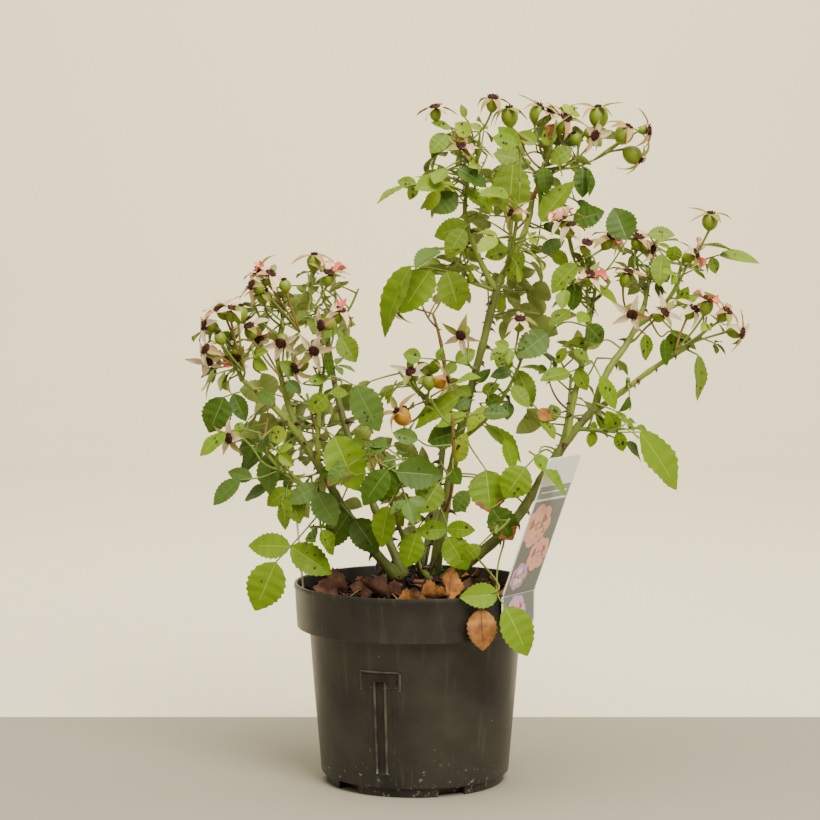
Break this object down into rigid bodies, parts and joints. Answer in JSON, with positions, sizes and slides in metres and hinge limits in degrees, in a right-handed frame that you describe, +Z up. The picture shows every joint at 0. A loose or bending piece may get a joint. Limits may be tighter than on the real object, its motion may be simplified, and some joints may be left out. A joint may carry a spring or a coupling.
{
  "type": "potted rose bush",
  "caption": "Young rose bush in a black nursery pot: forked thorny canes, an open leafy crown with green hips in papery calyx stars, bark mulch and a plain plant label.",
  "frame": {"origin": "centre of the pot's flat underside, on the pot's axis", "axes": "+Z up along the pot's axis, -Y is the front in the picture, +X to the right there"},
  "size_m": [0.4614, 0.2534, 0.5773],
  "materials": {
    "pot_plastic": "thin black recycled plastic, dusty, with a soft sheen",
    "compost": "moist peat compost under reddish brown bark mulch",
    "old_wood": "rough brown graft union",
    "cane_bark": "smooth green bark, darker and browner at the foot, with red brown thorns",
    "green_bark": "smooth yellow green bark",
    "foliage": "satin green leaves with paler undersides, green hips and dry cream sepals",
    "dead_leaf": "dry brown leaves, curled",
    "label_card": "printed card under a clear film",
    "tag_plastic": "plain white plastic"
  },
  "bodies": {
    "root": {"pot": "pot_plastic", "compost": "compost", "graft_union": "old_wood", "card_label": "label_card", "slim_tag": "tag_plastic", "fallen_leaf_1": "dead_leaf", "fallen_leaf_2": "dead_leaf", "fallen_leaf_3": "dead_leaf", "fallen_leaf_4": "dead_leaf", "fallen_leaf_5": "dead_leaf", "fallen_leaf_6": "dead_leaf", "cane_left": "cane_bark", "cane_left_back": "cane_bark", "cane_centre": "cane_bark", "cane_right": "cane_bark", "cane_back": "cane_bark", "cane_front": "cane_bark", "bough_left_outer": "green_bark", "bough_left_upper": "green_bark", "bough_left_front": "green_bark", "bough_top": "green_bark", "bough_top_left": "green_bark", "bough_right_inner": "green_bark", "bough_right_mid": "green_bark", "bough_right_outer": "green_bark", "bough_back": "green_bark", "foliage_left_outer": "foliage", "foliage_left_upper": "foliage", "foliage_left_front": "foliage", "foliage_left_inner": "foliage", "foliage_left_side": "foliage", "foliage_left_low": "foliage", "foliage_left_back": "foliage", "foliage_front_low": "foliage", "foliage_centre_front": "foliage", "foliage_centre_left": "foliage", "foliage_centre_right": "foliage", "foliage_rim": "foliage", "foliage_high_left": "foliage", "foliage_high_front": "foliage", "foliage_high_back": "foliage", "foliage_top_left": "foliage", "foliage_top": "foliage", "foliage_right_inner": "foliage", "foliage_right_mid": "foliage", "foliage_right_far": "foliage", "foliage_right_front": "foliage", "foliage_right_outer": "foliage", "foliage_right_low": "foliage", "foliage_right_back": "foliage", "foliage_back_low": "foliage", "foliage_back": "foliage", "foliage_back_right": "foliage"}
  },
  "joints": []
}
